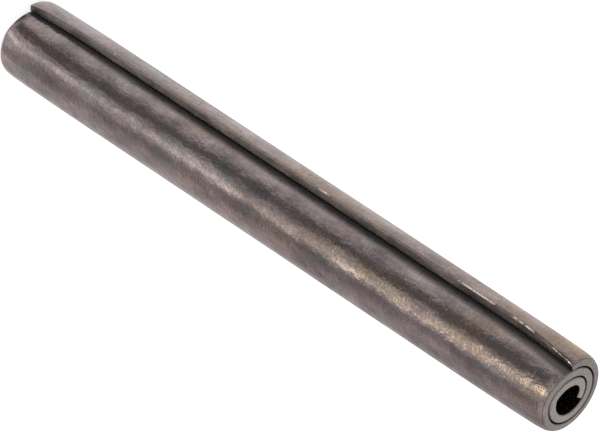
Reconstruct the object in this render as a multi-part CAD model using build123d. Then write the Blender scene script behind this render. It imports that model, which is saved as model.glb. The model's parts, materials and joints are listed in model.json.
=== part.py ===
from build123d import *
import math
import os

# A coiled spring pin: one strip of spring steel rolled up on itself, with a swaged nose at each end.
# Millimetres. +Z runs along the pin, and the origin is the middle of the end face it stands on.
# Seen from above, the strip starts at its outer lip and runs clockwise, inwards.

# Driving dimensions
pin_length = 90.0
pin_diameter = 10.5          # over the round part of the free pin
sheet_thickness = 1.1
coil_gap = 0.2               # room between one turn and the next
whole_turns = 2
overrun_angle = 124.0        # degrees that the strip runs on past its last whole turn
lip_angle = 275.0            # where the outer lip stands, in degrees from +X
tuck_angle = 105.0           # sector in which a turn leaves the round and goes under the lip
tuck_overlap = 25.0          # the part of that sector that the lip covers
slit_edge_radius = 0.12      # rounding along the strip's two long edges

tight_length = 12.0          # stretch at each end over which the coil is wound tighter
tight_draw = 0.3             # how much narrower the coil gets over that stretch
tight_lip_turn = 9.0         # degrees that the lip is wound on by, at the end face
end_gap = 0.15               # room between turns at the end face

nose_length = 2.2            # swaged taper at the tip of that stretch
nose_diameter = 9.85         # over the taper where it would meet the plane of the end face
rim_radius = 0.45            # rounding between the taper and the end face
edge_break = 0.1             # chamfer round the strip in the end face

taper_steps = 6              # steps in which the tighter stretch is lofted, closest at the tip
trim_room = 1.0              # how far the cutting shapes stand clear of the pin


def polar(radius, angle):
    """The point at this radius and angle about the pin's axis."""
    return Vector(radius, 0).rotate(Axis.Z, angle)


def coil_arcs(diameter, gap, lip):
    """The strip's outer side as (centre, radius, start, sweep) arcs, from the outer lip inwards.

    Each turn is round about the axis as far as its tuck. There a tight arc and a flat arc, tangent
    to their neighbours, bring it in by one pitch, and the last of that lies under the lip. The
    next turn keeps the same centres, so the room between turns is the same all the way.
    """
    axis = Vector(0, 0)
    radius = diameter / 2
    pitch = sheet_thickness + gap
    tuck_end = lip - tuck_overlap
    round_sweep = 360 - tuck_angle
    tuck_start = tuck_end - round_sweep
    bow = 1 - math.cos(math.radians(tuck_angle))
    # The tight arc lies midway between one that would close up inside the second turn and one
    # that would leave the rest of the tuck straight.
    tightest = pitch + sheet_thickness
    loosest = radius - pitch / bow
    tight_radius = (tightest + loosest) / 2
    tight_shift = radius - tight_radius
    flat_shift = pitch * (2 * tight_shift - pitch) / (2 * (tight_shift * bow - pitch))
    flat_radius = radius - pitch + flat_shift
    tight_centre = polar(tight_shift, tuck_start)
    flat_centre = polar(-flat_shift, tuck_end)
    across = tight_centre - flat_centre
    flat_sweep = (math.degrees(math.atan2(across.Y, across.X)) - tuck_end) % 360
    arcs = []
    for turn in range(whole_turns):
        depth = turn * pitch
        start = tuck_end if turn else lip
        arcs.append((axis, radius - depth, start, start - tuck_start))
        arcs.append((tight_centre, tight_radius - depth, tuck_start, tuck_angle - flat_sweep))
        arcs.append((flat_centre, flat_radius - depth, tuck_end + flat_sweep, flat_sweep))
    inner_lip = lip_angle - overrun_angle
    arcs.append((axis, radius - whole_turns * pitch, tuck_end, tuck_end - inner_lip))
    return arcs


def lip_corner(radius, facing, inset):
    """Where a lip's rounded corner has its centre: distance from the axis, turn back from the lip."""
    orbit = radius - facing * slit_edge_radius
    turn_back = math.degrees(math.asin((slit_edge_radius + inset) / orbit))
    return orbit, turn_back


def strip_side(arcs, facing, inset):
    """One side of the strip with a rounded corner at both lips, from the outer lip inwards.

    facing is 1 on the side that faces out and -1 on the side that faces the axis.
    """
    centre, radius, outer_lip, sweep = arcs[0]
    orbit, turn_back = lip_corner(radius, facing, inset)
    corner_sweep = -facing * 90 - turn_back
    outer_corner = CenterArc(polar(orbit, outer_lip - turn_back), slit_edge_radius,
                             outer_lip + 90, corner_sweep)
    first = (centre, radius, outer_lip - turn_back, sweep - turn_back)

    centre, radius, start, sweep = arcs[-1]
    inner_lip = start - sweep
    orbit, turn_back = lip_corner(radius, facing, inset)
    corner_sweep = -facing * 90 - turn_back
    inner_corner = CenterArc(polar(orbit, inner_lip + turn_back), slit_edge_radius,
                             inner_lip - 90 - corner_sweep, corner_sweep)
    last = (centre, radius, start, sweep - turn_back)

    faces = [CenterArc(c, r, a, -s) for c, r, a, s in [first, *arcs[1:-1], last]]
    return [outer_corner, *faces, inner_corner]


def coil_section(height, diameter, gap, lip, inset=0.0):
    """The strip's cross-section at this height, of even thickness, drawn in by inset all round."""
    arcs = coil_arcs(diameter, gap, lip)
    outside = strip_side([(c, r - inset, a, s) for c, r, a, s in arcs], 1, inset)
    inside = strip_side([(c, r - sheet_thickness + inset, a, s) for c, r, a, s in arcs], -1, inset)
    outer_face = Line(inside[0] @ 0, outside[0] @ 0)
    inner_face = Line(outside[-1] @ 1, inside[-1] @ 1)
    return Pos(0, 0, height) * make_face([outer_face, *outside, inner_face, *inside])


def end_shape(height):
    """Diameter, gap and lip angle of the coil this far above the foot's end face."""
    tight_share = (1 - height / tight_length) ** 2
    nose_share = max(0, 1 - height / nose_length) ** 2
    nose_draw = pin_diameter - tight_draw - nose_diameter
    diameter = pin_diameter - tight_draw * tight_share - nose_draw * nose_share
    gap = coil_gap - (coil_gap - end_gap) * tight_share
    return diameter, gap, lip_angle + tight_lip_turn * tight_share


def coil_end():
    """The foot end: wound tighter towards its tip, with a chamfer round the strip's end."""
    rise = tight_length - edge_break
    heights = [edge_break + rise * (step / taper_steps) ** 2 for step in range(taper_steps + 1)]
    sections = [coil_section(height, *end_shape(height)) for height in heights]
    return loft([coil_section(0, *end_shape(0), edge_break), *sections], ruled=True)


def rounded_rim():
    """The space inside the swaging die: it rounds the rim of both ends and clears the rest."""
    tip = end_shape(0)[0] / 2
    flare = (end_shape(rim_radius)[0] / 2 - tip) / rim_radius
    clear = pin_diameter / 2 + trim_room
    reach = (clear - tip) / flare
    outline = Polyline((0, 0), (tip, 0), (clear, reach), (clear, pin_length / 2),
                       (0, pin_length / 2), close=True)
    profile = make_face(outline)
    rim = profile.vertices().sort_by_distance((tip, 0, 0))[0]
    half = revolve(Plane.XZ * fillet(rim, rim_radius), Axis.Z)
    return half + half.mirror(Plane.XY.offset(pin_length / 2))


def coiled_pin():
    """The whole pin: a straight coil between two tighter, rounded ends."""
    body = extrude(coil_section(tight_length, *end_shape(tight_length)), pin_length - 2 * tight_length)
    foot = coil_end()
    head = foot.mirror(Plane.XY.offset(pin_length / 2))
    return (body + foot + head) & rounded_rim()


os.makedirs("parts", exist_ok=True)
export_step(coiled_pin().solid(), "parts/coiled_pin.step")
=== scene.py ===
import bisect
import json
import math
import bpy
from mathutils import Matrix, Vector

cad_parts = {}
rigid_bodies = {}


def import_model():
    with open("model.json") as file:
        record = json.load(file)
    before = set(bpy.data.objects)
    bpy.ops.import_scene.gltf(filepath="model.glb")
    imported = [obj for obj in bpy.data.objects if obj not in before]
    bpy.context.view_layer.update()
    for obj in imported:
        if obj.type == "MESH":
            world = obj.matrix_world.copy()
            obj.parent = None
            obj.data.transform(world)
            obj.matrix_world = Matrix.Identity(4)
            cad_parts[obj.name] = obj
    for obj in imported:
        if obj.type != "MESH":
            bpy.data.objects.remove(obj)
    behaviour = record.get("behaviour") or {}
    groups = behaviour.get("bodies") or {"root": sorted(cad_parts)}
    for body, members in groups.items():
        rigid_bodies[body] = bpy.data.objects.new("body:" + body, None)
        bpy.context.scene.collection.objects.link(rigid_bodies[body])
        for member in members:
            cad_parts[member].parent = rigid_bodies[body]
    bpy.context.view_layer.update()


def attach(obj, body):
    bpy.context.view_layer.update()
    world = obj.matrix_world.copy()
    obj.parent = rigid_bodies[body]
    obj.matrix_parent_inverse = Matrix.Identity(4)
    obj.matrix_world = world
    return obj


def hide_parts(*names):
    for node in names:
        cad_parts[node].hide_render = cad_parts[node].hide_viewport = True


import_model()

# Coiled spring pin: a strip of oiled spring steel, rolled up and swaged at both ends.
# Metres, same frame as the CAD part: the pin stands on z = 0 round the z axis.

mm = 0.001


def report(text):
    print("pin scene:", text)


def deselectAll():
    for thing in bpy.context.view_layer.objects:
        thing.select_set(False)


def takeNew(name):
    # names what the last operator added, and its data
    piece = bpy.context.active_object
    piece.name = name
    piece.data.name = name
    return piece


deselectAll()

strip = {
    "length": 90 * mm,          # along the pin
    "sheet": 1.1 * mm,          # how thick it is
    "columns": 300,             # faces along the rolled direction
    "rows": 72,                 # faces along the pin
    "layers": 6,                # faces across the sheet
    "mostCuts": 10,             # an edge is cut into this many at once, at most
    "endCrowding": 0.17,        # below 1 the rows gather towards the two ends
    "edgeRounding": 0.19 * mm,
    "faceShare": 0.9,           # how much of that rounding counts as end face
    "edgeMargin": 0.02 * mm,    # a point this near the sheared edge lies on it
    "lean": 0.27 * mm,          # how far the sheared lip's inner side stands out past its outer
    "leanFade": 2.5 * mm,       # it dies out this far from each end
}

coil = {
    "diameter": 10.5 * mm,
    "gap": 0.2 * mm,            # room between the turns
    "turns": 2,
    "overrun": 124,             # degrees past the last whole turn
    "lip": 275,                 # where the outer edge stands
    "tuck": 105,                # sector in which a turn dives under the next one
    "overlap": 25,              # the part of that sector that the lip covers
}

swage = {
    "reach": 12 * mm,           # the coil is wound tighter from here to its end
    "draw": 0.3 * mm,           # how much narrower it gets
    "lipTurn": 9,               # degrees that the lip is turned on at the head
    "footTurn": 5,              # and at the foot
    "lipPress": 0.55 * mm,      # how far the lip's outer corner is hammered in at the head
    "pressWidth": 2 * mm,
    "endGap": 0.15 * mm,
    "noseLength": 2.2 * mm,
    "noseDiameter": 9.85 * mm,
    "rim": 0.45 * mm,           # rounding of the outer turn at the face
    "dome": 0.14 * mm,          # how far the middle of the face stands proud of its rim
    "domeFade": 1.6 * mm,
}


def spot(radius, degrees):
    a = math.radians(degrees)
    return Vector((radius * math.cos(a), radius * math.sin(a)))


def coilArcs(diameter, gap, lip):
    # outer side of the rolled strip, lip first: (centre, radius, start, sweep)
    radius = diameter / 2
    pitch = strip["sheet"] + gap
    tuckEnd = lip - coil["overlap"]
    tuckStart = tuckEnd - (360 - coil["tuck"])
    bow = 1 - math.cos(math.radians(coil["tuck"]))
    tightRadius = (pitch + strip["sheet"] + radius - pitch / bow) / 2
    tightShift = radius - tightRadius
    flatShift = pitch * (2 * tightShift - pitch) / (2 * (tightShift * bow - pitch))
    flatRadius = radius - pitch + flatShift
    tightCentre = spot(tightShift, tuckStart)
    flatCentre = spot(-flatShift, tuckEnd)
    across = tightCentre - flatCentre
    flatSweep = (math.degrees(math.atan2(across.y, across.x)) - tuckEnd) % 360
    axis = Vector((0, 0))
    arcs = []
    for turn in range(coil["turns"]):
        depth = turn * pitch
        start = tuckEnd if turn else lip
        arcs.append((axis, radius - depth, start, start - tuckStart))
        arcs.append((tightCentre, tightRadius - depth, tuckStart, coil["tuck"] - flatSweep))
        arcs.append((flatCentre, flatRadius - depth, tuckEnd + flatSweep, flatSweep))
    innerLip = coil["lip"] - coil["overrun"]
    arcs.append((axis, radius - coil["turns"] * pitch, tuckEnd, tuckEnd - innerLip))
    return arcs


def tightness(height):
    # 0 on the plain coil, 1 at the end face
    return max(0, 1 - height / swage["reach"]) ** 2


def endForm(height, turn):
    # diameter, gap and lip at this height over the nearer end
    tight = tightness(height)
    nose = max(0, 1 - height / swage["noseLength"]) ** 2
    drawn = coil["diameter"] - swage["draw"]
    return (coil["diameter"] - swage["draw"] * tight - (drawn - swage["noseDiameter"]) * nose,
            coil["gap"] - (coil["gap"] - swage["endGap"]) * tight,
            coil["lip"] + turn * tight)


# where the arcs end along the flat strip's outer side
arcEnds = [0]
for _, radius, _, sweep in coilArcs(coil["diameter"], coil["gap"], coil["lip"]):
    arcEnds.append(arcEnds[-1] + radius * math.radians(sweep))
stripWidth = arcEnds[-1]


def addFlatStrip():
    # a block the size of the cut sheet: x is the way it rolls up, y the depth below its outer side
    size = Vector((stripWidth, strip["sheet"], strip["length"]))
    bpy.ops.mesh.primitive_cube_add(size=1, location=size / 2, scale=size)
    piece = takeNew("coiledPin")
    bpy.ops.object.transform_apply(location=True, rotation=True, scale=True)
    for axis, count in ((0, strip["columns"]), (1, strip["layers"]), (2, strip["rows"])):
        cutAlong(piece, axis, count)
    return piece


def cutAlong(piece, axis, count):
    # divides every edge that runs along this axis, in steps small enough for the operator
    while count > 1:
        step = next((n for n in range(strip["mostCuts"], 1, -1) if count % n == 0), count)
        bpy.ops.object.mode_set(mode="EDIT")
        bpy.ops.mesh.select_mode(type="EDGE")
        bpy.ops.mesh.select_all(action="DESELECT")
        bpy.ops.object.mode_set(mode="OBJECT")
        points = piece.data.vertices
        for edge in piece.data.edges:
            run = points[edge.vertices[1]].co - points[edge.vertices[0]].co
            edge.select = abs(run[axis]) > 0.9 * run.length
        bpy.ops.object.mode_set(mode="EDIT")
        bpy.ops.mesh.subdivide(number_cuts=step - 1)
        bpy.ops.object.mode_set(mode="OBJECT")
        count //= step


def gatherRows(piece):
    # the rows close up towards both ends, where the swaging needs them
    share = strip["endCrowding"]
    half = strip["length"] / 2
    for point in piece.data.vertices:
        t = (point.co.z - half) / half
        s = 1 - abs(t)
        point.co.z = half + math.copysign(half * (1 - share * s - (1 - share) * s ** 3), t)


def roundEdges(piece):
    rounding = piece.modifiers.new("rounding", "BEVEL")
    rounding.width = strip["edgeRounding"]
    rounding.segments = 3
    rounding.limit_method = "ANGLE"
    rounding.angle_limit = math.radians(60)
    bpy.ops.object.modifier_apply(modifier=rounding.name)


def mapFlatStrip(piece):
    # UV in metres on the flat sheet: u from the outer lip and v along the pin. On the sheared
    # edges u is the depth instead, and on the end faces v is
    layer = piece.data.uv_layers[0]
    layer.name = "sheet"
    points = piece.data.vertices
    for face in piece.data.polygons:
        along = max(range(3), key=lambda i: abs(face.normal[i]))
        for corner in face.loop_indices:
            co = points[piece.data.loops[corner].vertex_index].co
            layer.data[corner].uv = ((co.y, co.z), (co.x, co.z), (co.x, co.y))[along]


def rollPoint(co):
    # where a point of the flat strip ends up, how far the rim's rounding has moved it, and where
    # the lip stands at its height
    height = min(co.z, strip["length"] - co.z)
    turn = swage["footTurn"] if co.z < strip["length"] / 2 else swage["lipTurn"]
    diameter, gap, lip = endForm(height, turn)
    arcs = coilArcs(diameter, gap, lip)
    lean = strip["lean"] * min(1, height / strip["leanFade"])
    run = co.x - lean * co.y / strip["sheet"] * max(0, 1 - co.x / strip["sheet"])
    which = min(max(bisect.bisect_right(arcEnds, run) - 1, 0), len(arcs) - 1)
    share = (run - arcEnds[which]) / (arcEnds[which + 1] - arcEnds[which])
    centre, radius, start, sweep = arcs[which]
    press = swage["lipPress"] * tightness(strip["length"] - co.z)
    press *= max(0, 1 - co.x / swage["pressWidth"]) ** 2
    press *= 1 - co.y / strip["sheet"]
    flat = centre + spot(radius - co.y - press, start - share * sweep)

    # outer rim: anything past the rounding's arc is brought back to it
    rim = swage["rim"]
    rimMiddle = swage["noseDiameter"] / 2 - rim
    out = flat.length - rimMiddle
    down = rim - height
    moved = 0
    if out > 0 and down > 0 and math.hypot(out, down) > rim:
        moved = 1 - rim / math.hypot(out, down)
        flat = flat.normalized() * (rimMiddle + out * (1 - moved))
        height = rim - down * (1 - moved)

    # the face is slightly domed
    fade = max(0, 1 - height / swage["domeFade"]) ** 2
    height += swage["dome"] * (flat.length / (coil["diameter"] / 2)) ** 2 * fade
    z = height if co.z < strip["length"] / 2 else strip["length"] - height
    return Vector((flat.x, flat.y, z)), moved, lip


grimeAndShade = {
    "slitReach": 2.2 * mm,      # how far the painted shade and old oil reach out of the slit
    "slitRadius": 4.5 * mm,     # that reach goes round the pin at this radius
    "slitStart": 1.02,          # above 1 the painted shade and oil stay full for a little way
    "footShare": 0.5,           # share of the reach at the foot
    "footRun": 24 * mm,         # it grows by one whole reach over this length of the pin
    "laterRun": 450 * mm,       # and, once it is whole, by one more over this length
    "grooveReach": 0.22 * mm,   # how far it reaches from each gap over the end faces
    "lipWidth": 0.5 * mm,       # how far the sheared lip's own darkening goes round its corners
    "lipFade": 1.2 * mm,
    "outerDark": 0.36,           # how dark the lip's sheared edge is at its outer side
    "innerDark": 0.12,           # how much darker at its inner side
    "headDark": 0.12,            # and how much darker at the head
    "rimWear": 20,              # how soon the bare end face gives way on the rounded rim
}


def underLipShade(co, place, lip):
    # painted shade with old oil on the turn that dives under the lip, standing in for the lip's
    # shadow and dark reflection on it
    turned = (math.degrees(math.atan2(place.y, place.x)) - lip + 180) % 360 - 180
    growth = min(grimeAndShade["footShare"] + co.z / grimeAndShade["footRun"], 1 + co.z / grimeAndShade["laterRun"])
    out = math.radians(turned) * grimeAndShade["slitRadius"] / (grimeAndShade["slitReach"] * growth)
    return min(1, max(0, grimeAndShade["slitStart"] - out))


def lipEdgeDarkening(co):
    # darkens the lip's sheared edge, more at its inner side and towards the head
    up = co.z / strip["length"]
    inner = grimeAndShade["innerDark"] * co.y / strip["sheet"]
    return (grimeAndShade["outerDark"] + inner + grimeAndShade["headDark"] * up * up) * (1 - co.x / grimeAndShade["lipFade"])


def rollUp(piece):
    # rolls the strip, and notes on each point what the finish needs to know: cut is 1 on the end
    # faces and sheared edges, groove is oil beside the gaps, and slit is painted shade with old oil
    # on the turn under the lip, for the lip's shadow and dark reflection, and the darkening of the
    # lip's sheared edge
    cut, groove, slitShadeAndOil = [], [], []
    faceMargin = strip["faceShare"] * strip["edgeRounding"]
    for point in piece.data.vertices:
        co = point.co.copy()
        place, moved, lip = rollPoint(co)
        depth = min(co.y, strip["sheet"] - co.y)
        onFace = min(co.z, strip["length"] - co.z) < faceMargin
        onEdge = min(co.x, stripWidth - co.x) < strip["edgeMargin"]
        underLip = arcEnds[1] < co.x < arcEnds[3] and co.y < strip["sheet"] / 2
        cut.append(max(0, 1 - grimeAndShade["rimWear"] * moved) if onFace or onEdge else 0)
        groove.append(max(0, 1 - depth / grimeAndShade["grooveReach"]) if onFace else 0)
        if onFace:
            slitShadeAndOil.append(0)
        elif co.x < grimeAndShade["lipWidth"]:
            slitShadeAndOil.append(lipEdgeDarkening(co))
        else:
            slitShadeAndOil.append(underLipShade(co, place, lip) if underLip else 0)
        point.co = place
    piece.data.update()
    for name, values in (("cut", cut), ("groove", groove), ("slitShadeAndOil", slitShadeAndOil)):
        store = piece.data.attributes.new(name, "FLOAT", "POINT")
        store.data.foreach_set("value", values)


pin = addFlatStrip()
gatherRows(pin)
roundEdges(pin)
mapFlatStrip(pin)
rollUp(pin)
bpy.ops.object.shade_smooth_by_angle(angle=math.radians(50))
report(f"strip rolled up, {len(pin.data.polygons)} faces")

steel = {
    "dark": (0.130, 0.108, 0.110, 1),
    "middle": (0.232, 0.191, 0.194, 1),
    "light": (0.325, 0.272, 0.277, 1),
    "brown": (0.240, 0.184, 0.140, 1),
    "slate": (0.165, 0.172, 0.170, 1),
    "cut": (0.240, 0.208, 0.200, 1),
    "inner": (0.36, 0.330, 0.300, 1),
    # a dark colour for the painted shade by the slit, the darkened lip edge and the oil in the gaps
    "oilAndShade": (0.055, 0.047, 0.049, 1),
    "worn": (0.92, 0.84, 0.76, 1),
    "oxideStops": (0.30, 0.50, 0.70),   # where dark, middle and light stand in the mottling
    "nickRange": (0.60, 0.66),  # where the rubbing turns from none to bright nicks
    "cutCover": 0.8,            # how much of the oxide the cut faces have lost
    "cutRoughness": 0.42,
    "seep": 0.5,                # how much the mottling frays the edge of the painted shade and oil
    "waveDepth": 0.17 * mm,
    "pitDepth": 0.018 * mm,
    "strokeDepth": 0.048 * mm,
    "patterns": {
        "mottle": {"size": 3.2 * mm, "detail": 6, "rough": 0.62, "stretch": (1, 1, 1.8)},
        "cool": {"size": 2.4 * mm, "detail": 4, "rough": 0.55, "stretch": (1, 1, 1.5),
                 "seed": 0.08},
        "tint": {"size": 4.5 * mm, "detail": 5, "rough": 0.62, "stretch": (1, 1, 2.2),
                 "seed": 0.061},
        "speckle": {"size": 0.30 * mm, "detail": 2, "rough": 0.6},
        # fine marks round the pin, left by rolling the sheet
        "strokes": {"size": 0.28 * mm, "detail": 1, "rough": 0.5, "stretch": (6, 1, 1),
                    "slant": -0.2},
        "rubbing": {"size": 1.3 * mm, "detail": 5, "rough": 0.7, "stretch": (1, 2.6, 1),
                    "seed": 0.03},
        "waves": {"size": 1.9 * mm, "detail": 3, "rough": 0.55, "stretch": (1, 1, 1.5),
                  "seed": 0.09},
        "pits": {"size": 0.28 * mm, "detail": 2, "rough": 0.6, "seed": 0.02},
    },
    # each is a range of a pattern, or a stretch of the sheet, and what its two ends give
    "spans": {
        "slate": (0.54, 0.66, 0.0, 0.6),
        "brown": (0.50, 0.70, 0.0, 0.8),
        "brownAlong": (40 * mm, 85 * mm, -0.03, 0.03),
        "brownByLip": (0.2 * mm, 5 * mm, 0.06, 0.0),
        "brownAtFoot": (2 * mm, 16 * mm, 0.035, 0.0),
        "inner": (15 * mm, stripWidth, 0.0, 1.0),
        "speckleTone": (0.25, 0.75, 0.80, 1.20),
        "strokeTone": (0.28, 0.72, 0.92, 1.08),
        # where the painted shade and oil by the slit come in
        "oilAndShade": (0.26, 0.60, 0.0, 0.97),
        "groove": (0.3, 0.9, 0.0, 0.75),
        "nearLip": (0.06 * mm, 0.18 * mm, 1.0, 0.0),
        "rubbedAlong": (62 * mm, 74 * mm, 0.0, 0.11),
        "leastRubbed": (58 * mm, 70 * mm, 0.14, 0.03),
        "metal": (0.55, 0.97, 1.0, 0.6),
        "roughness": (0.32, 0.68, 0.36, 0.22),
        "strokeRoughness": (0.3, 0.7, 1.15, 0.85),
        "ribsByTint": (0.38, 0.56, 0.5, 1.0),
        "ribsByLip": (5 * mm, 9 * mm, 0.35, 1.0),
        "ribsAlong": (50 * mm, 80 * mm, 1.0, 0.6),
    },
}


def plug(tree, value, socket):
    if isinstance(value, bpy.types.NodeSocket):
        tree.links.new(value, socket)
    else:
        socket.default_value = value


def noise(tree, source, size, detail, rough, stretch=(1, 1, 1), seed=0.0, slant=0.0):
    # noise whose features are about this size in metres, drawn out along an axis by stretch
    place = tree.nodes.new("ShaderNodeMapping")
    place.vector_type = "TEXTURE"
    place.inputs["Scale"].default_value = [size * s for s in stretch]
    place.inputs["Rotation"].default_value[2] = slant
    place.inputs["Location"].default_value = (seed, 2 * seed, 3 * seed)
    plug(tree, source, place.inputs["Vector"])
    grain = tree.nodes.new("ShaderNodeTexNoise")
    grain.inputs["Scale"].default_value = 1.0
    grain.inputs["Detail"].default_value = detail
    grain.inputs["Roughness"].default_value = rough
    plug(tree, place.outputs["Vector"], grain.inputs["Vector"])
    return grain.outputs["Fac"]


def ramp(tree, source, stops):
    node = tree.nodes.new("ShaderNodeValToRGB")
    cells = node.color_ramp.elements
    while len(cells) < len(stops):
        cells.new(0.5)
    for cell, (place, colour) in zip(cells, stops):
        cell.position = place
        cell.color = colour
    plug(tree, source, node.inputs["Fac"])
    return node.outputs["Color"]


def spread(tree, source, low, high, toLow, toHigh, course="LINEAR"):
    # stretches low..high to toLow..toHigh, and holds beyond
    node = tree.nodes.new("ShaderNodeMapRange")
    node.interpolation_type = course
    names = ("Value", "From Min", "From Max", "To Min", "To Max")
    for name, value in zip(names, (source, low, high, toLow, toHigh)):
        plug(tree, value, node.inputs[name])
    return node.outputs["Result"]


def mixColour(tree, share, a, b, blend="MIX"):
    node = tree.nodes.new("ShaderNodeMix")
    node.data_type = "RGBA"
    node.blend_type = blend
    for value, socket in ((share, node.inputs[0]), (a, node.inputs[6]), (b, node.inputs[7])):
        plug(tree, value, socket)
    return node.outputs[2]


def maths(tree, operation, a, b):
    node = tree.nodes.new("ShaderNodeMath")
    node.operation = operation
    plug(tree, a, node.inputs[0])
    plug(tree, b, node.inputs[1])
    return node.outputs[0]


def noted(tree, name):
    node = tree.nodes.new("ShaderNodeAttribute")
    node.attribute_name = name
    return node.outputs["Fac"]


def bump(tree, height, depth, normal=None):
    node = tree.nodes.new("ShaderNodeBump")
    node.inputs["Distance"].default_value = depth
    plug(tree, height, node.inputs["Height"])
    if normal is not None:
        plug(tree, normal, node.inputs["Normal"])
    return node.outputs["Normal"]


def oiledSteel():
    material = bpy.data.materials.new("oiledSpringSteel")
    material.use_nodes = True
    tree = material.node_tree
    shader = tree.nodes["Principled BSDF"]
    place = tree.nodes.new("ShaderNodeTexCoord").outputs["Object"]
    sheet = tree.nodes.new("ShaderNodeUVMap")
    sheet.uv_map = "sheet"
    flat = sheet.outputs["UV"]
    apart = tree.nodes.new("ShaderNodeSeparateXYZ")
    plug(tree, flat, apart.inputs["Vector"])
    fromLip, along = apart.outputs["X"], apart.outputs["Y"]
    cut = noted(tree, "cut")

    def pattern(source, name):
        return noise(tree, source, **steel["patterns"][name])

    def span(source, name):
        return spread(tree, source, *steel["spans"][name])

    def times(a, b):
        return maths(tree, "MULTIPLY", a, b)

    def plus(a, b):
        return maths(tree, "ADD", a, b)

    # oxide: dark and light blotches with brown and slate tints, more of the brown by the lip,
    # at the foot and towards the head, and little of it all on the cut faces
    mottle = pattern(place, "mottle")
    shades = (steel["dark"], steel["middle"], steel["light"])
    colour = ramp(tree, mottle, list(zip(steel["oxideStops"], shades)))
    cool = pattern(place, "cool")
    colour = mixColour(tree, span(cool, "slate"), colour, steel["slate"])
    warm = plus(span(along, "brownAlong"), span(fromLip, "brownByLip"))
    warm = plus(warm, span(along, "brownAtFoot"))
    tint = plus(pattern(place, "tint"), warm)
    colour = mixColour(tree, span(tint, "brown"), colour, steel["brown"])
    bare = mixColour(tree, span(fromLip, "inner"), steel["cut"], steel["inner"])
    colour = mixColour(tree, times(cut, steel["cutCover"]), colour, bare)

    # fine speckle, and marks round the pin
    strokes = pattern(flat, "strokes")
    fine = times(span(pattern(place, "speckle"), "speckleTone"), span(strokes, "strokeTone"))
    colour = mixColour(tree, 1.0, colour, fine, "MULTIPLY")

    # painted shade with old oil by the slit, for the lip's shadow and dark reflection, the darkened
    # sheared lip edge, oil in the gaps, and bright nicks where the outer lip has been rubbed
    seep = times(maths(tree, "SUBTRACT", mottle, 0.5), steel["seep"])
    shadeAndOil = spread(tree, plus(noted(tree, "slitShadeAndOil"), seep), *steel["spans"]["oilAndShade"], "SMOOTHSTEP")
    colour = mixColour(tree, shadeAndOil, colour, steel["oilAndShade"])
    colour = mixColour(tree, span(noted(tree, "groove"), "groove"), colour, steel["oilAndShade"])
    rubbed = plus(pattern(flat, "rubbing"), span(along, "rubbedAlong"))
    nicks = spread(tree, rubbed, *steel["nickRange"], span(along, "leastRubbed"), 1.0)
    colour = mixColour(tree, times(span(fromLip, "nearLip"), nicks), colour, steel["worn"])
    plug(tree, colour, shader.inputs["Base Color"])

    # the painted slit shade and oil also dull the metal, but not on the cut faces
    plug(tree, maths(tree, "MAXIMUM", cut, span(shadeAndOil, "metal")), shader.inputs["Metallic"])
    rough = times(span(mottle, "roughness"), span(strokes, "strokeRoughness"))
    rough = spread(tree, cut, 0.0, 1.0, rough, steel["cutRoughness"])
    plug(tree, rough, shader.inputs["Roughness"])

    # an uneven surface: slow waves, pits, and the same marks round the pin as fine ribs
    ribs = times(strokes, span(tint, "ribsByTint"))
    ribs = times(ribs, span(fromLip, "ribsByLip"))
    ribs = times(ribs, span(along, "ribsAlong"))
    normal = bump(tree, pattern(place, "waves"), steel["waveDepth"])
    normal = bump(tree, pattern(place, "pits"), steel["pitDepth"], normal)
    normal = bump(tree, ribs, steel["strokeDepth"], normal)
    plug(tree, normal, shader.inputs["Normal"])
    return material


pin.data.materials.clear()
pin.data.materials.append(oiledSteel())
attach(pin, "root")
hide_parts("coiled_pin")
report("steel finish on")

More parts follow.
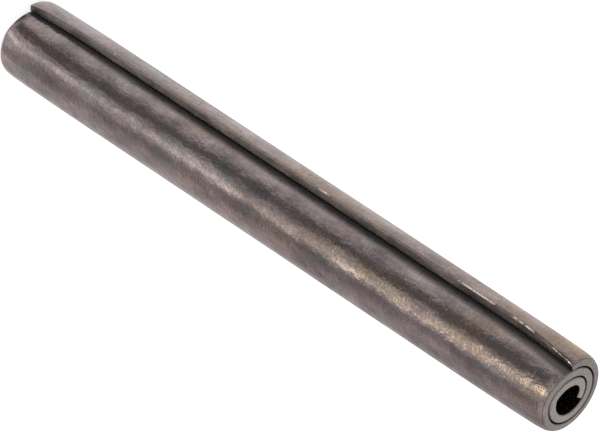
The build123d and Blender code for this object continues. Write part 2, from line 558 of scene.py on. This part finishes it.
studio = {
    "worldLight": 0.95,
    "seenLight": 1.0,           # what the camera sees of it
    "floorRadius": 0.8,
    "floorEdges": 96,
    "floorColour": (0.35, 0.35, 0.35, 1),
    "floorLight": 0.78,         # its own light
    "floorGlow": 0.86,          # what it gives back to the steel
    "keyWatts": 5.0,
    "keySize": 0.7,
    "keyFrom": (100, 62),       # azimuth and elevation, in degrees
    "keyDistance": 0.9,
    "seenFrom": -36.3,          # azimuth of the camera, which the cards are laid out for
    "cardStart": 5.0 * mm,      # how far from the axis they start
    "cardLift": 0.02 * mm,      # how far over the floor they lie
    "cardColumns": 36,
    # what lies round the pin for the steel to reflect. Each row is how far from the pin it lies, in
    # millimetres, the two directions that it spans there, in degrees, and its glow
    "cards": {
        "blackCard": [
            (0, -79, -45, (0.22, 0.205, 0.21)), (170, -79, -45, (0.20, 0.19, 0.19)),
            (230, -84, -42, (0.08, 0.08, 0.08)), (500, -100, -52, (0.06, 0.06, 0.06))],
        "stripGlass": [
            (0, -26, -9, (1.65, 1.61, 1.55)), (24, -25, -4, (1.95, 1.9, 1.82)),
            (46, -21, -4, (2.2, 2.13, 2.03)), (68, -16, 5, (3.0, 2.85, 2.55)),
            (95, -1, 5.5, (3.5, 3.2, 2.6)), (116, -1, 7.5, (9.4, 8.2, 5.4)),
            (127, 0, 4, (6.4, 5.6, 3.5)), (136, -4, 0, (3.6, 3.1, 1.8)),
            (158, -7, 1, (1.5, 1.3, 0.7)), (168, -30, 2, (0.2, 0.17, 0.15)),
            (195, -32, 2, (0.2, 0.17, 0.15)), (205, -28, -11, (6.4, 5.8, 4.1)),
            (500, -33, -14, (8.0, 7.4, 5.8))],
        "greyCard": [
            (0, 20, 48, (0.62, 0.585, 0.59)), (60, 20, 48, (0.50, 0.47, 0.475)),
            (140, 20, 48, (0.42, 0.39, 0.39)), (500, 20, 48, (0.42, 0.39, 0.39))],
        "paleCard": [
            (0, 48, 120, (1.05, 0.98, 0.98)), (60, 48, 120, (0.97, 0.90, 0.91)),
            (140, 48, 120, (0.74, 0.68, 0.68)), (500, 48, 120, (0.74, 0.68, 0.68))],
        "whiteCard": [
            (0, -145, -91, (1.12, 1.10, 1.10)), (500, -145, -91, (1.12, 1.08, 1.05))],
        "topCard": [
            (0, -186, -146, (1.35, 1.33, 1.33)), (100, -186, -146, (1.33, 1.28, 1.25)),
            (150, -186, -146, (1.25, 1.10, 0.98)), (500, -186, -146, (1.25, 1.10, 0.98))],
        "footShade": [
            (-5, -150, -30, (0.2, 0.17, 0.17)), (-0.5, -150, -30, (0.2, 0.17, 0.17))],
    },
}

pinMiddle = Vector((0, 0, strip["length"] / 2))


def studioWorld():
    world = bpy.data.worlds.new("studio")
    bpy.context.scene.world = world
    world.use_nodes = True
    tree = world.node_tree
    back = tree.nodes["Background"]
    rays = tree.nodes.new("ShaderNodeLightPath")
    back.inputs["Color"].default_value = (1, 1, 1, 1)
    level = tree.nodes.new("ShaderNodeMix")
    plug(tree, rays.outputs["Is Camera Ray"], level.inputs[0])
    plug(tree, studio["worldLight"], level.inputs[2])
    plug(tree, studio["seenLight"], level.inputs[3])
    plug(tree, level.outputs[0], back.inputs["Strength"])


def emptyMaterial(name):
    # with nothing in its tree but the output
    material = bpy.data.materials.new(name)
    material.use_nodes = True
    tree = material.node_tree
    tree.nodes.clear()
    output = tree.nodes.new("ShaderNodeOutputMaterial")
    return material, tree, output.inputs["Surface"]


def addFloor():
    # a pale floor, which shines on the steel more than it seems to
    deselectAll()
    bpy.ops.mesh.primitive_circle_add(
        vertices=studio["floorEdges"], radius=studio["floorRadius"], fill_type="NGON",
        location=(0, 0, 0))
    floor = takeNew("floor")
    material, tree, surface = emptyMaterial("paleFloor")
    rays = tree.nodes.new("ShaderNodeLightPath")
    matt = tree.nodes.new("ShaderNodeBsdfDiffuse")
    matt.inputs["Color"].default_value = studio["floorColour"]
    glow = tree.nodes.new("ShaderNodeEmission")
    glow.inputs["Strength"].default_value = studio["floorLight"]
    mirror = tree.nodes.new("ShaderNodeEmission")
    mirror.inputs["Strength"].default_value = studio["floorGlow"]
    both = tree.nodes.new("ShaderNodeAddShader")
    plug(tree, matt.outputs[0], both.inputs[0])
    plug(tree, glow.outputs[0], both.inputs[1])
    pick = tree.nodes.new("ShaderNodeMixShader")
    plug(tree, rays.outputs["Is Glossy Ray"], pick.inputs[0])
    plug(tree, both.outputs[0], pick.inputs[1])
    plug(tree, mirror.outputs[0], pick.inputs[2])
    plug(tree, pick.outputs[0], surface)
    floor.data.materials.append(material)


def addSoftbox():
    deselectAll()
    bpy.ops.object.light_add(type="AREA")
    lamp = takeNew("softbox")
    lamp.data.shape = "DISK"
    lamp.data.size = studio["keySize"]
    lamp.data.energy = studio["keyWatts"]
    lamp.visible_camera = False
    lamp.visible_glossy = False
    azimuth, elevation = studio["keyFrom"]
    flat = spot(studio["keyDistance"] * math.cos(math.radians(elevation)), azimuth)
    lift = studio["keyDistance"] * math.sin(math.radians(elevation))
    way = Vector((flat.x, flat.y, lift))
    lamp.location = pinMiddle + way
    lamp.rotation_euler = (-way).to_track_quat("-Z", "Y").to_euler()


def glowing(name):
    # gives off the colour noted on its points
    material, tree, surface = emptyMaterial(name)
    source = tree.nodes.new("ShaderNodeAttribute")
    source.attribute_name = "glow"
    glow = tree.nodes.new("ShaderNodeEmission")
    plug(tree, source.outputs["Color"], glow.inputs["Color"])
    plug(tree, glow.outputs[0], surface)
    return material


def addCard(name, rows):
    # a card or lamp glass lying beside the pin, seen by the steel only
    deselectAll()
    bpy.ops.mesh.primitive_grid_add(
        x_subdivisions=len(rows) - 1, y_subdivisions=studio["cardColumns"], size=2)
    card = takeNew(name)
    glow = card.data.attributes.new("glow", "FLOAT_COLOR", "POINT")
    for point, tone in zip(card.data.vertices, glow.data):
        distance, first, last, colour = rows[round((point.co.x + 1) / 2 * (len(rows) - 1))]
        way = first + (last - first) * (point.co.y + 1) / 2
        flat = spot(studio["cardStart"], (way + studio["seenFrom"]) / 2) + spot(distance * mm, way)
        point.co = (flat.x, flat.y, studio["cardLift"])
        tone.color = (*colour, 1)
    card.data.materials.append(glowing(name))
    card.visible_camera = False
    card.visible_diffuse = False
    card.visible_shadow = False


studioWorld()
addFloor()
addSoftbox()
for name, rows in studio["cards"].items():
    addCard(name, rows)
report("floor, lamp and cards placed")

shot = {
    "azimuth": 53.712,          # degrees round the pin, from -y towards +x
    "elevation": 30.762,
    "roll": 123.492,
    "distance": 0.85737,
    "lens": 434.2,
    "sensor": 36,
    "clip": 10,
    # how far the aim is off the pin's middle, in the picture's own directions
    "across": 0.000889,
    "up": -0.000597,
}


def addCamera():
    a = math.radians(shot["azimuth"] - 90)
    e = math.radians(shot["elevation"])
    back = Vector((math.cos(e) * math.cos(a), math.cos(e) * math.sin(a), math.sin(e)))
    side = Vector((0, 0, 1)).cross(back).normalized()
    up = back.cross(side)
    turn = math.radians(shot["roll"])
    right = math.cos(turn) * side + math.sin(turn) * up
    top = back.cross(right)
    place = pinMiddle + shot["distance"] * back + shot["across"] * right + shot["up"] * top
    bpy.ops.object.camera_add()
    camera = bpy.context.active_object
    camera.name = "camera"
    camera.matrix_world = Matrix((
        (right.x, top.x, back.x, place.x),
        (right.y, top.y, back.y, place.y),
        (right.z, top.z, back.z, place.z),
        (0, 0, 0, 1)))
    camera.data.sensor_width = shot["sensor"]
    camera.data.lens = shot["lens"]
    camera.data.clip_end = shot["clip"]
    bpy.context.scene.camera = camera


addCamera()
bpy.context.scene.view_settings.view_transform = "Standard"

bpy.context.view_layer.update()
report("done")
